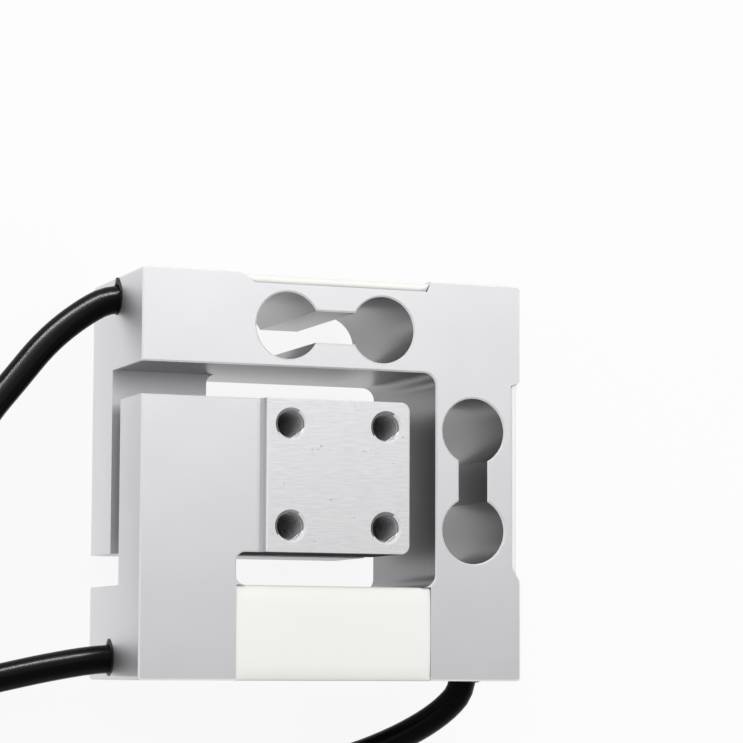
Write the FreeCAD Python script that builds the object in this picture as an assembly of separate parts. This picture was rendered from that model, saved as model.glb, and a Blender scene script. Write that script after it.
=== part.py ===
# Three-axis force sensor: one milled aluminium block with three double-hole flexure beams in series.
# It lies on its rear mounting pad. +Z points out of the front pad, and on the front face +X points to the
# right and +Y up.
# The origin is the centre of the rear pad's face. All lengths are millimetres.
import FreeCAD, Part
import math
import os

# Milled block
block_side = 60.0
block_depth = 26.0
corner_radius = 0.6
edge_break = 0.25

# Mounting pads, one on each side of the block, with tapped holes right through to the slit
pad_height = 1.5
pad_corner_radius = 1.3
pad_root_radius = 0.5
screw_edge_distance = 3.8
tapped_diameter = 4.2
countersink_diameter = 4.9
countersink_depth = 0.35

# Flexure beams: two round holes joined by a neck, with a thin web on either side
flexure_hole_diameter = 10.0
flexure_hole_pitch = 15.0
neck_width = 4.7
web_thickness = 1.15

# Recess over the outer web of each beam, with a ramp at the cable's end and a steep wall at the other
recess_depth = 1.6
recess_half_length = 15.3
ramp_run = 2.6
steep_run = 0.7

# Gaps that part the beams from the pads, and the slit that parts the front from the rear
gap_width = 4.8
slit_width = 4.4
window_corner_radius = 2.0
slot_end_radius = 1.4

# Cable holes, seals and cables
cable_diameter = 4.2
cable_hole_diameter = 5.3
cable_inset = 3.2
cable_insertion = 8.0
seal_plug_length = 2.5
seal_bead_width = 0.25
seal_bead_height = 0.35
top_exit_offset = -0.1
right_exit_offset = -1.2
bottom_exit_offset = -2.2
ramp_foot_land = 0.3
lead_hole_diameter = 3.4

# Strain gauges, terminal strips and bridge leads under the silicone
gauge_length = 5.0
gauge_width = 3.4
gauge_thickness = 0.08
strip_length = 4.0
strip_margin = 0.7
strip_thickness = 0.3
solder_diameter = 0.6
solder_height = 0.3
lead_count = 4
lead_diameter = 0.5
lead_spacing = 0.8
lead_clearance = 0.45
lead_straight_start = 1.0
lead_lift = 0.02

# Silicone covers; the rounding of their outer edges is a share of their height
cover_below_face = 0.2
cover_inset = 0.3
cover_edge_share = 0.4

# Coils of the cables' spare length, stacked on the floor beside the sensor
coil_centre_x = -88.0
coil_centre_y = -5.5
coil_mean_radius = 25.2
coil_turns = 5
strap_thickness = 0.8
strap_width = 8.0
strap_angles = (165.0, 250.0)
strap_corner_radius = 0.7
lead_end_diameter = 1.1
lead_end_sweep = 62.0
lead_end_chords = 4
lead_end_clearance = 0.05
notch_sweep = 70.0
coil_edge_chamfer = 1.0

# Free middle points of each cable's route, between its seal and its coil, and the share of the shorter run
# that the arc at a corner takes
top_cable_points = [(-35.4, 24.3, 14.6), (-41.1, 19.6, 15.2), (-46.0, 13.6, 16.3), (-50.8, 8.0, 17.5)]
bottom_cable_points = [(-38.5, -28.0, 12.2), (-47.5, -30.0, 11.5), (-56.5, -31.0, 10.8)]
right_cable_points = [
    (24.2, -34.6, 11.8), (18.5, -38.7, 8.4), (10.2, -42.3, 5.1), (0.5, -44.4, 3.0), (-10.0, -45.4, 2.2),
    (-22.0, -45.6, 2.1), (-35.0, -45.0, 2.1), (-48.0, -43.0, 2.1), (-59.0, -38.4, 2.4)]
bend_inside_mouth = 0.1
arc_share = 0.45

# Place of each coil in the stack, angle where its cable comes in, and angle where its notch begins
right_coil = {"level": 0, "entry_angle": -50.0, "notch_angle": -23.0}
bottom_coil = {"level": 1, "entry_angle": -48.0, "notch_angle": -2.0}
top_coil = {"level": 2, "entry_angle": 15.5, "notch_angle": 74.0}
coil_count = 3

# Levels and half sizes that follow from the values above
half = block_side / 2
rear_face = pad_height
front_face = rear_face + block_depth
middle = (rear_face + front_face) / 2
hole_radius = flexure_hole_diameter / 2
recess_floor = half - recess_depth
hole_line = recess_floor - web_thickness - hole_radius
window_half = hole_line - hole_radius - web_thickness
pad_half = window_half - gap_width
screw_half_pitch = pad_half - screw_edge_distance
front_recess_floor = front_face - recess_depth
cover_height = recess_depth - cover_below_face
bottom_beam_middle = -(half + window_half) / 2
ramp_foot = -recess_half_length + ramp_run
cable_line = half - cable_inset
cable_hole_end = ramp_foot - ramp_foot_land
top_exit_height = middle + top_exit_offset
right_exit_height = middle + right_exit_offset
bottom_exit_height = middle + bottom_exit_offset
lead_row_half = (lead_count - 1) / 2 * lead_spacing
lead_start = -half + cable_insertion + seal_plug_length

# How far a cutting shape reaches past the faces it cuts, and how near two points count as one
overshoot = 1.0
tolerance = 1e-6

X_AXIS = FreeCAD.Vector(1, 0, 0)
Y_AXIS = FreeCAD.Vector(0, 1, 0)
Z_AXIS = FreeCAD.Vector(0, 0, 1)
ORIGIN = FreeCAD.Vector(0, 0, 0)

# Corner kind of a swept wire
MITRED = 1


def outline(corners):
    """Closed wire in the XY plane through (x, y, radius) corners, rounded by tangent arcs."""
    count = len(corners)
    cuts = []
    for i in range(count):
        here = FreeCAD.Vector(corners[i][0], corners[i][1], 0)
        before = FreeCAD.Vector(corners[i - 1][0], corners[i - 1][1], 0)
        after = FreeCAD.Vector(corners[(i + 1) % count][0], corners[(i + 1) % count][1], 0)
        radius = corners[i][2]
        back = (before - here).normalize()
        ahead = (after - here).normalize()
        opening = back.getAngle(ahead)
        setback = radius / math.tan(opening / 2)
        bisector = (back + ahead).normalize()
        centre = here + bisector * (radius / math.sin(opening / 2))
        cuts.append((here + back * setback, centre - bisector * radius, here + ahead * setback))
    edges = []
    for i in range(count):
        start, crown, end = cuts[i]
        if corners[i][2] > 0:
            edges.append(Part.Arc(start, crown, end).toShape())
        following = cuts[(i + 1) % count][0]
        if end.distanceToPoint(following) > tolerance:
            edges.append(Part.LineSegment(end, following).toShape())
    return Part.Wire(edges)


def grown(corners, amount):
    """The same corners with each side of the outline moved outwards, for a broken rim."""
    count = len(corners)
    area = sum(corners[i - 1][0] * corners[i][1] - corners[i][0] * corners[i - 1][1] for i in range(count))
    way = math.copysign(1, area)
    moved = []
    for i in range(count):
        here = FreeCAD.Vector(corners[i][0], corners[i][1], 0)
        incoming = (here - FreeCAD.Vector(corners[i - 1][0], corners[i - 1][1], 0)).normalize()
        following = corners[(i + 1) % count]
        outgoing = (FreeCAD.Vector(following[0], following[1], 0) - here).normalize()
        bulge = math.copysign(1, way * incoming.cross(outgoing).z)
        place = here + (incoming - outgoing) * bulge * amount
        radius = corners[i][2] + bulge * amount if corners[i][2] > 0 else 0
        moved.append((place.x, place.y, radius))
    return moved


def square(reach, radius):
    """Rounded corners of a square about the Z axis; reach is half its side."""
    return [(x * reach, y * reach, radius) for x, y in ((1, 1), (-1, 1), (-1, -1), (1, -1))]


def prism(wire, low, high):
    """Solid between two heights over a closed wire drawn in the XY plane."""
    face = Part.Face(wire)
    face.translate(Z_AXIS * low)
    return face.extrude(Z_AXIS * (high - low))


def box(x, y, z):
    """Box given by its (low, high) span along each axis."""
    corner = FreeCAD.Vector(x[0], y[0], z[0])
    return Part.makeBox(x[1] - x[0], y[1] - y[0], z[1] - z[0], corner)


def swap_xy(shape):
    """Mirror image across the plane x = y: what serves the top beam serves the right beam."""
    return shape.mirror(ORIGIN, FreeCAD.Vector(1, -1, 0))


def dumbbell(radius, neck):
    """Wire of two round holes on the X axis joined by a neck."""
    far = flexure_hole_pitch / 2
    reach = math.sqrt(radius ** 2 - (neck / 2) ** 2)
    points = [FreeCAD.Vector(side * (far - reach), level * neck / 2, 0) for side, level in
              ((-1, 1), (1, 1), (1, -1), (-1, -1))]
    return Part.Wire([
        Part.LineSegment(points[0], points[1]).toShape(),
        Part.Arc(points[1], FreeCAD.Vector(far + radius, 0, 0), points[2]).toShape(),
        Part.LineSegment(points[2], points[3]).toShape(),
        Part.Arc(points[3], FreeCAD.Vector(-far - radius, 0, 0), points[0]).toShape()])


def double_slot(radius, neck, reach):
    """Wire of two upright round-ended slots on the X axis joined by a neck; reach is half their height."""
    near = flexure_hole_pitch / 2 - radius
    far = flexure_hole_pitch / 2 + radius
    quarter = [(near, neck / 2, 0), (near, reach, radius), (far, reach, radius)]
    right = quarter + [(x, -y, r) for x, y, r in reversed(quarter)]
    return outline(right + [(-x, -y, r) for x, y, r in right])


def broken_rim(wire, wider, face, inward):
    """Bevel between an opening's wire just inside a face of the block and its wider wire on that face."""
    narrow = wire.copy()
    narrow.translate(Z_AXIS * (face + inward))
    wide = wider.copy()
    wide.translate(Z_AXIS * face)
    return Part.makeLoft([narrow, wide], True, True)


def flexure_cut():
    """Double hole of the top beam, right through the block, with broken rims on both faces."""
    wire = dumbbell(hole_radius, neck_width)
    wider = dumbbell(hole_radius + edge_break, neck_width + 2 * edge_break)
    through = prism(wire, rear_face - overshoot, front_face + overshoot)
    rims = [broken_rim(wire, wider, front_face, -edge_break), broken_rim(wire, wider, rear_face, edge_break)]
    cut = through.fuse(rims)
    cut.translate(Y_AXIS * hole_line)
    return cut


def bottom_flexure_cut():
    """Double slot of the bottom beam, cut along Y, so that its webs lie behind the front and rear faces."""
    low = rear_face + web_thickness
    high = front_recess_floor - web_thickness
    wire = double_slot(hole_radius, neck_width, (high - low) / 2)
    cut = prism(wire, -half - overshoot, -window_half + overshoot)
    cut.rotate(ORIGIN, X_AXIS, -90)
    cut.translate(Z_AXIS * (low + high) / 2)
    return cut


def recess_profile(rise):
    """Section of the outer recess along the beam: floor, cable ramp and steep wall, up to a height."""
    ramp_slope = ramp_run / recess_depth
    steep_slope = steep_run / recess_depth
    return outline([
        (ramp_foot - ramp_slope * rise, recess_floor + rise, 0),
        (ramp_foot, recess_floor, 0),
        (recess_half_length - steep_run, recess_floor, 0),
        (recess_half_length - steep_run + steep_slope * rise, recess_floor + rise, 0)])


def gap_cut():
    """Gap round the front pad and its column, from the slit to the front face, with a broken rim."""
    left = -half - overshoot
    end = -recess_half_length
    corners = [
        (left, pad_half, 0),
        (pad_half, pad_half, pad_corner_radius),
        (pad_half, -pad_half, pad_corner_radius),
        (end, -pad_half, slot_end_radius),
        (end, -window_half, slot_end_radius),
        (window_half, -window_half, window_corner_radius),
        (window_half, window_half, window_corner_radius),
        (left, window_half, 0)]
    wire = outline(corners)
    gap = prism(wire, middle, front_face + overshoot)
    return gap.fuse(broken_rim(wire, outline(grown(corners, edge_break)), front_face, -edge_break))


def slit_cut():
    """Slit between the front and the rear half, open on the left face."""
    left = -half - overshoot
    corners = [
        (left, -window_half, 0),
        (window_half, -window_half, window_corner_radius),
        (window_half, window_half, window_corner_radius),
        (left, window_half, 0)]
    return prism(outline(corners), middle - slit_width / 2, middle + slit_width / 2)


def pad_root():
    """Fillet at the foot of the step that the front pad makes across the column."""
    start = -pad_half - pad_root_radius
    crown = front_face + pad_root_radius
    foot = box((start, overshoot - pad_half), (-pad_half, pad_half), (front_face - overshoot, crown))
    axis_start = FreeCAD.Vector(start, -pad_half - overshoot, crown)
    return foot.cut(Part.makeCylinder(pad_root_radius, 2 * (pad_half + overshoot), axis_start, Y_AXIS))


def mounting_pad():
    """Raised square of the front pad, its corners rounded at the column's end and its top edge broken."""
    top = front_face + pad_height
    corners = square(pad_half, pad_corner_radius)
    corners[1] = (-pad_half, pad_half, 0)
    corners[2] = (-pad_half, -pad_half, 0)
    pad = prism(outline(corners), middle + slit_width / 2, top)
    rim = [edge for edge in pad.Edges if all(abs(vertex.Z - top) < tolerance for vertex in edge.Vertexes)]
    return pad.makeChamfer(edge_break, rim).fuse(pad_root())


def screw_holes():
    """Four tapped holes of the front pad, countersunk, down to the slit."""
    top = front_face + pad_height
    holes = []
    for x in (-1, 1):
        for y in (-1, 1):
            place = FreeCAD.Vector(x * screw_half_pitch, y * screw_half_pitch, middle)
            holes.append(Part.makeCylinder(tapped_diameter / 2, top - middle + overshoot, place, Z_AXIS))
            mouth = FreeCAD.Vector(place.x, place.y, top - countersink_depth)
            radii = (tapped_diameter / 2, countersink_diameter / 2)
            holes.append(Part.makeCone(*radii, countersink_depth, mouth, Z_AXIS))
    return holes


def rear(shape):
    """A front feature turned over about the block's middle, to the rear half."""
    turned = shape.copy()
    turned.rotate(FreeCAD.Vector(0, 0, middle), X_AXIS, 180)
    return turned


def cable_hole(height):
    """Blind hole of the top beam's cable, from the left face into the foot of the ramp."""
    start = FreeCAD.Vector(-half - overshoot, cable_line, height)
    return Part.makeCylinder(cable_hole_diameter / 2, cable_hole_end + half + overshoot, start, X_AXIS)


def bottom_cable_holes():
    """Cable hole of the bottom beam from the left face, and the lead hole from it up to the front recess."""
    across = cable_hole(bottom_exit_height).mirror(ORIGIN, Y_AXIS)
    foot = FreeCAD.Vector(cable_hole_end - lead_hole_diameter / 2, -cable_line, bottom_exit_height)
    rise = front_recess_floor + overshoot - bottom_exit_height
    return across.fuse(Part.makeCylinder(lead_hole_diameter / 2, rise, foot, Z_AXIS))


def sensor_body():
    """The milled block: block and pads, less the gaps, flexures, recesses and holes."""
    block = prism(outline(square(half, corner_radius)), rear_face, front_face)
    rims = [edge for edge in block.Edges if abs(edge.Vertexes[0].Z - edge.Vertexes[-1].Z) < tolerance]
    block = block.makeChamfer(edge_break, rims)
    past_rear = rear_face - overshoot
    past_front = front_face + overshoot
    top_recess = prism(recess_profile(recess_depth + overshoot), past_rear, past_front)
    top_flexure = flexure_cut()
    top_hole = cable_hole(top_exit_height)
    front_recess = box((-recess_half_length, recess_half_length), (-half - overshoot, -window_half),
                       (front_recess_floor, past_front))
    gap = gap_cut()
    cuts = [
        gap, rear(gap), slit_cut(),
        top_recess, swap_xy(top_recess), front_recess,
        top_flexure, swap_xy(top_flexure), bottom_flexure_cut(),
        top_hole, swap_xy(cable_hole(right_exit_height)), bottom_cable_holes()]
    body = block.cut(cuts)
    pad = mounting_pad()
    holes = screw_holes()
    body = body.fuse([pad, rear(pad)])
    body = body.cut(holes + [rear(hole) for hole in holes])
    return body.removeSplitter()


def route_edges(points):
    """Straight runs of a cable's route joined by arcs as large as the runs allow; also the arcs' radii."""
    places = [FreeCAD.Vector(*point) for point in points]
    edges = []
    radii = []
    start = places[0]
    for before, here, after in zip(places, places[1:], places[2:]):
        back = before - here
        ahead = after - here
        turn = math.pi - back.getAngle(ahead)
        setback = arc_share * min(back.Length, ahead.Length)
        radius = setback / math.tan(turn / 2)
        back.normalize()
        ahead.normalize()
        bisector = (back + ahead).normalize()
        centre = here + bisector * math.hypot(radius, setback)
        bend_start = here + back * setback
        bend_end = here + ahead * setback
        edges.append(Part.LineSegment(start, bend_start).toShape())
        edges.append(Part.Arc(bend_start, centre - bisector * radius, bend_end).toShape())
        radii.append(radius)
        start = bend_end
    edges.append(Part.LineSegment(start, places[-1]).toShape())
    return edges, radii


def sweep(path, points, diameter):
    """Round wire or cable along a path that starts with the run between the first two points."""
    start = FreeCAD.Vector(*points[0])
    section = Part.Wire([Part.makeCircle(diameter / 2, start, FreeCAD.Vector(*points[1]) - start)])
    return path.makePipeShell([section], True, False, MITRED)


def cable_tube(points):
    """Cable along a route; returns the solid, the length of its middle line and its bend radii."""
    edges, radii = route_edges(points)
    path = Part.Wire(edges)
    return sweep(path, points, cable_diameter), path.Length, radii


def kinked_wire(points, diameter):
    """Thin wire of straight runs with mitred corners."""
    return sweep(Part.makePolygon([FreeCAD.Vector(*point) for point in points]), points, diameter)


def gauges():
    """Four strain gauges on a recess floor: two side by side over each thin web, in the beam's own frame."""
    near = lead_row_half + lead_diameter / 2 + lead_clearance
    found = []
    for x in (-1, 1):
        for z in (-1, 1):
            centre = x * flexure_hole_pitch / 2
            along = (centre - gauge_length / 2, centre + gauge_length / 2)
            across = sorted((z * near, z * (near + gauge_width)))
            found.append(box(along, (0, gauge_thickness), across))
    return found


def lead_offsets():
    """Places of the leads in their row across the beam."""
    return [i * lead_spacing - lead_row_half for i in range(lead_count)]


def terminal_strip():
    """Terminal strip over the neck with a solder bead for each lead, in the beam's own frame."""
    wide = lead_row_half + strip_margin
    strip = box((-strip_length / 2, strip_length / 2), (0, strip_thickness), (-wide, wide))
    beads = []
    for offset in lead_offsets():
        foot = FreeCAD.Vector(0, strip_thickness, offset)
        beads.append(Part.makeCone(solder_diameter / 2, solder_diameter / 4, solder_height, foot, Y_AXIS))
    return strip.fuse(beads)


def core_places():
    """Places of the leads in a ring in the cable's core, as (outward, across) from its middle."""
    radius = lead_spacing / 2 / math.sin(math.pi / lead_count)
    turns = [2 * math.pi * (i + 0.5) / lead_count for i in range(lead_count)]
    return [(-radius * math.cos(turn), -radius * math.sin(turn)) for turn in turns]


def top_leads(height):
    """Leads from the cable's end over the ramp's foot to the terminal strip, in the beam's own frame."""
    sunk = cable_line - recess_floor
    aside = height - middle
    lying = lead_diameter / 2 + lead_lift
    corner = recess_depth * ramp_foot_land / ramp_run
    over_corner = corner + lead_diameter / 2 + lead_clearance
    wires = []
    for (outward, across), offset in zip(core_places(), lead_offsets()):
        route = [
            (lead_start, sunk + outward, aside + across),
            (lead_start + lead_straight_start, sunk + outward, aside + across),
            (cable_hole_end - ramp_run, sunk, aside + offset),
            (cable_hole_end, over_corner, aside + offset),
            (ramp_foot + ramp_run, lying, offset),
            (-strip_length / 2, lying, offset)]
        wires.append(kinked_wire(route, lead_diameter))
    return wires


def bottom_leads():
    """Leads from the cable's end up the lead hole to the strip in the front recess, in the part's frame."""
    shaft = cable_hole_end - lead_hole_diameter / 2
    lying = front_recess_floor + lead_diameter / 2 + lead_lift
    over_corner = lying + lead_clearance
    wires = []
    for (outward, across), offset in zip(core_places(), lead_offsets()):
        row = -cable_line - offset
        line = bottom_beam_middle - offset
        route = [
            (lead_start, -cable_line - across, bottom_exit_height + outward),
            (lead_start + lead_straight_start, -cable_line - across, bottom_exit_height + outward),
            (shaft, row, bottom_exit_height),
            (shaft, row, over_corner),
            (ramp_foot + ramp_run, line, lying),
            (-strip_length / 2, line, lying)]
        wires.append(kinked_wire(route, lead_diameter))
    return wires


def rounded_cover(solid, is_top):
    """Softens the outer edges of a silicone cover; is_top tells the vertices of its outer face."""
    edges = [edge for edge in solid.Edges if all(is_top(v.Point) for v in edge.Vertexes)]
    return solid.makeFillet(cover_edge_share * cover_height, edges)


def top_cover():
    """Silicone that fills the top beam's recess to just below the face."""
    solid = prism(recess_profile(cover_height), rear_face + cover_inset, front_face - cover_inset)
    return rounded_cover(solid, lambda p: p.y > recess_floor + cover_height - tolerance)


def bottom_cover():
    """Silicone that fills the front recess of the bottom beam to just below the face."""
    high = front_recess_floor + cover_height
    solid = box((-recess_half_length, recess_half_length), (-half + cover_inset, -window_half - cover_inset),
                (front_recess_floor, high))
    return rounded_cover(solid, lambda p: p.z > high - tolerance)


def cable_exit(height):
    """First two points of the top beam's cable: its end in the seal, and its bend at the hole's mouth."""
    return [(-half + cable_insertion, cable_line, height), (-half + bend_inside_mouth, cable_line, height)]


def coil_entry(coil):
    """Point on the outermost turn of a coil's lower layer where its cable comes in."""
    turn = coil_mean_radius + (coil_turns - 1) * cable_diameter / 2
    angle = math.radians(coil["entry_angle"])
    height = coil_floor(coil["level"]) + cable_diameter / 2
    return (coil_centre_x + turn * math.cos(angle), coil_centre_y + turn * math.sin(angle), height)


def cable_seal(height):
    """Sealing compound that fills the top beam's cable hole, with a bead round the cable at the mouth."""
    mouth = FreeCAD.Vector(-half, cable_line, height)
    radius = cable_hole_diameter / 2
    inner = Part.makeCylinder(radius, cable_insertion + seal_plug_length, mouth, X_AXIS)
    bead = Part.makeCone(radius + seal_bead_width, cable_diameter / 2, seal_bead_height, mouth, X_AXIS * -1)
    return inner.fuse(bead).removeSplitter()


def coil_height():
    """Height of one coil: a layer of turns with one turn fewer lying in its grooves."""
    return cable_diameter * (1 + math.sqrt(0.75))


def coil_floor(level):
    """Height of a coil's underside in the stack, which stands on its straps."""
    return strap_thickness + level * coil_height()


def coil_ring(coil):
    """Outer shape of one coil, with a notch where the last turn ends and the leads come out."""
    wide = coil_turns * cable_diameter / 2
    narrow = wide - cable_diameter / 2
    base = coil_floor(coil["level"])
    step = base + cable_diameter
    top = base + coil_height()
    half_profile = [
        (wide - coil_edge_chamfer, base), (wide, base + coil_edge_chamfer), (wide, step - coil_edge_chamfer),
        (narrow, step), (narrow, top - coil_edge_chamfer), (narrow - coil_edge_chamfer, top)]
    profile = half_profile + [(-r, z) for r, z in reversed(half_profile)]
    points = [FreeCAD.Vector(coil_mean_radius + r, 0, z) for r, z in profile]
    ring = Part.Face(Part.makePolygon(points + points[:1])).revolve(ORIGIN, Z_AXIS, 360)
    outer = coil_mean_radius + wide
    notch_inner = coil_mean_radius + narrow - cable_diameter
    notch_foot = FreeCAD.Vector(0, 0, step)
    notch_height = top - step + overshoot
    notch = Part.makeCylinder(outer, notch_height, notch_foot, Z_AXIS, notch_sweep)
    notch = notch.cut(Part.makeCylinder(notch_inner, notch_height, notch_foot, Z_AXIS))
    notch.rotate(ORIGIN, Z_AXIS, coil["notch_angle"])
    ring = ring.cut(notch)
    ring.translate(FreeCAD.Vector(coil_centre_x, coil_centre_y, 0))
    return ring


def lead_ends(coil):
    """Four stripped leads that lie in the coil's notch, bent in chords from the end of the cable."""
    floor = coil_floor(coil["level"]) + cable_diameter
    radius = lead_end_diameter / 2
    turn = coil_mean_radius + coil_turns * cable_diameter / 2 - cable_diameter
    first = math.radians(coil["notch_angle"] + notch_sweep)
    step = math.radians(lead_end_sweep) / lead_end_chords
    bends = [(first - (i + 0.5) * step, 1 / math.cos(step / 2)) for i in range(lead_end_chords)]
    places = [(first, 1)] + bends + [(first - lead_end_chords * step, 1)]
    wires = []
    for side in (-1, 1):
        for layer in (1, 3):
            reach = turn + side * (radius + lead_end_clearance)
            height = floor + layer * radius + (layer - 1) * lead_end_clearance
            route = []
            for angle, stretch in places:
                x = coil_centre_x + reach * stretch * math.cos(angle)
                y = coil_centre_y + reach * stretch * math.sin(angle)
                route.append((x, y, height))
            wires.append(kinked_wire(route, lead_end_diameter))
    return wires


def coil_strap(angle):
    """Strap looped round the section of the stacked coils at one angle."""
    wide = coil_turns * cable_diameter / 2
    near = math.sqrt((coil_mean_radius - wide) ** 2 - (strap_width / 2) ** 2)
    far = coil_mean_radius + wide
    top = coil_floor(coil_count)
    across = (-strap_width / 2, strap_width / 2)
    loop = box((near - strap_thickness, far + strap_thickness), across, (0, top + strap_thickness))
    corners = [edge for edge in loop.Edges if edge.Vertexes[0].Y * edge.Vertexes[-1].Y < 0]
    loop = loop.makeFillet(strap_corner_radius, corners)
    loop = loop.cut(box((near, far), (-strap_width, strap_width), (strap_thickness, top)))
    loop.rotate(ORIGIN, Z_AXIS, angle)
    loop.translate(FreeCAD.Vector(coil_centre_x, coil_centre_y, 0))
    return loop


def seat_top(shape):
    """Moves a piece from the beam's own frame to the top beam's recess floor."""
    placed = shape.copy()
    placed.translate(FreeCAD.Vector(0, recess_floor, middle))
    return placed


def seat_right(shape):
    """Moves a piece from the beam's own frame to the right beam's recess floor."""
    return swap_xy(seat_top(shape))


def seat_bottom(shape):
    """Moves a piece from the beam's own frame to the front recess of the bottom beam."""
    placed = shape.copy()
    placed.rotate(ORIGIN, X_AXIS, 90)
    placed.translate(FreeCAD.Vector(0, bottom_beam_middle, front_recess_floor))
    return placed


def mirrored_route(route, beam):
    """Points at the top beam's cable exit, mirrored to another beam's cable exit."""
    places = {"top": lambda x, y: (x, y), "right": lambda x, y: (y, x), "bottom": lambda x, y: (x, -y)}
    return [places[beam](x, y) + (z,) for x, y, z in route]


def mirrored(shape, beam):
    """A piece at the top beam's cable exit, mirrored to another beam's cable exit."""
    return {"top": shape, "right": swap_xy(shape), "bottom": shape.mirror(ORIGIN, Y_AXIS)}[beam]


def build():
    """All nodes of the part by name."""
    nodes = {"sensor_body": sensor_body()}
    seats = {"top": seat_top, "right": seat_right, "bottom": seat_bottom}
    exits = {"top": top_exit_height, "right": right_exit_height, "bottom": bottom_exit_height}
    points = {"top": top_cable_points, "right": right_cable_points, "bottom": bottom_cable_points}
    coils = {"top": top_coil, "right": right_coil, "bottom": bottom_coil}
    covers = {"top": top_cover(), "right": swap_xy(top_cover()), "bottom": bottom_cover()}
    leads = {
        "top": [seat_top(wire) for wire in top_leads(top_exit_height)],
        "right": [seat_right(wire) for wire in top_leads(right_exit_height)],
        "bottom": bottom_leads()}
    for beam, seat in seats.items():
        pieces = [seat(gauge) for gauge in gauges()]
        for number, gauge in enumerate(pieces, 1):
            nodes[f"{beam}_gauge_{number}"] = gauge
        nodes[f"{beam}_terminal_strip"] = seat(terminal_strip())
        nodes[f"{beam}_bridge_leads"] = Part.makeCompound(leads[beam])
        buried = pieces + [nodes[f"{beam}_terminal_strip"]] + leads[beam]
        nodes[f"{beam}_beam_cover"] = covers[beam].cut(buried)
        ring = coil_ring(coils[beam])
        route = mirrored_route(cable_exit(exits[beam]), beam) + points[beam] + [coil_entry(coils[beam])]
        cable, length, radii = cable_tube(route)
        share = cable.Volume / (math.pi * cable_diameter ** 2 / 4 * length)
        print(beam, "cable length", round(length, 1), "volume share", round(share, 4),
              "radii", [round(radius, 1) for radius in radii])
        nodes[f"{beam}_cable_seal"] = mirrored(cable_seal(exits[beam]), beam).cut(cable)
        nodes[f"{beam}_cable"] = cable.cut(ring)
        nodes[f"{beam}_cable_coil"] = ring
        nodes[f"{beam}_lead_ends"] = Part.makeCompound(lead_ends(coils[beam]))
    for number, angle in enumerate(strap_angles, 1):
        nodes[f"coil_strap_{number}"] = coil_strap(angle)
    return nodes


os.makedirs("parts", exist_ok=True)
for name, shape in build().items():
    shape.exportStep(f"parts/{name}.step")
    print(name, "solids", len(shape.Solids), "valid", shape.isValid(), "volume", round(shape.Volume, 2))
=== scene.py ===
"""Looks of a three-axis force sensor: a milled aluminium block, silicone over its flexures, black cables.

The frame is the part's own: +Z out of the front pad, +X right and +Y up on the front face, origin on the
floor at the centre of the rear pad. Blender lengths are metres. The sizes below are millimetres, which MM
turns into metres, and angles are degrees, except where a comment says otherwise.
"""
import math

import bmesh
import bpy
from mathutils import Matrix, Vector, noise


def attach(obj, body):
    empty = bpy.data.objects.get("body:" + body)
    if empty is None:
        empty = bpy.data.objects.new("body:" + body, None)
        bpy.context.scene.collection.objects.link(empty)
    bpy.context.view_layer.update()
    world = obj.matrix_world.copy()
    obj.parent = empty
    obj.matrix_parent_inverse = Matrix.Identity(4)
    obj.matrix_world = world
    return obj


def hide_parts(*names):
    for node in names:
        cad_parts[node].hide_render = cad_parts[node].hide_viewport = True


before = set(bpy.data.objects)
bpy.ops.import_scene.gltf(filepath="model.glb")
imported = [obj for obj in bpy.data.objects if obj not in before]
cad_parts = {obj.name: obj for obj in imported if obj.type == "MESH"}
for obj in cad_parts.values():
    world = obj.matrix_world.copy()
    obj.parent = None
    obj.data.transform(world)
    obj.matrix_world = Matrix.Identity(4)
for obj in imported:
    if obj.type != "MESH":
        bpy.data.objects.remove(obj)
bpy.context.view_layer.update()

MM = 0.001
BEAMS = ("top", "right", "bottom")

# Camera: eye in the part's frame, turns about the part's own axes, lens and width of the sensor; the
# nearest and the furthest distance it sees are metres
CAMERA_EYE = (-148.84, -28.74, 424.16)
CAMERA_YAW = -21.28
CAMERA_PITCH = 5.99
CAMERA_ROLL = 0.22
CAMERA_LENS = 138.94
CAMERA_SENSOR = 36.0
CAMERA_CLIP = (0.01, 20.0)

# Block: its middle level, the floors of the recesses, the middle of the bottom beam and half of the screw
# pattern
MIDDLE_LEVEL = 14.5
RECESS_FLOOR = 28.4
FRONT_RECESS_FLOOR = 25.9
BOTTOM_BEAM_MIDDLE = -23.05
SCREW_HALF_PITCH = 7.5

# Cables: the length in metres, and routes that start in the seals and end where the coils begin; the second
# point of a route is pulled out of the bend by a share of its distance from its neighbours
CABLE_DIAMETER = 4.2
CABLE_ROUND_STEPS = 10
CABLE_LONG_STEPS = 5
CABLE_EXITS = {"top": (-30.0, 26.8, 14.4), "right": (26.8, -30.0, 13.3), "bottom": (-30.0, -26.8, 12.3)}
CABLE_HEADINGS = {"top": (-1, 0, 0), "right": (0, -1, 0), "bottom": (-1, 0, 0)}
CABLE_ROUTES = {
    "top": [
        (-22.0, 26.8, 14.4), (-29.9, 26.8, 14.4), (-35.4, 24.3, 14.6), (-41.1, 19.6, 15.2),
        (-46.0, 13.6, 16.3), (-50.8, 8.0, 17.5), (-52.6, 3.8, 18.2), (-54.2, -1.6, 18.57)],
    "right": [
        (26.8, -22.0, 13.3), (26.8, -29.9, 13.3), (24.2, -34.6, 11.8), (18.5, -38.7, 8.4),
        (10.2, -42.3, 5.1), (0.5, -44.4, 3.0), (-10.0, -45.4, 2.2), (-22.0, -45.6, 2.1),
        (-35.0, -45.0, 2.1), (-48.0, -43.4, 2.3), (-61.0, -41.2, 2.7), (-74.0, -39.4, 2.9),
        (-84.0, -39.4, 2.9)],
    "bottom": [
        (-22.0, -26.8, 12.3), (-29.9, -26.8, 12.3), (-38.5, -28.0, 12.2), (-47.5, -30.0, 11.5),
        (-57.0, -32.2, 10.9), (-66.0, -34.8, 10.74), (-74.0, -37.0, 10.74)]}
MOUTH_PULL = 0.25

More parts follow.
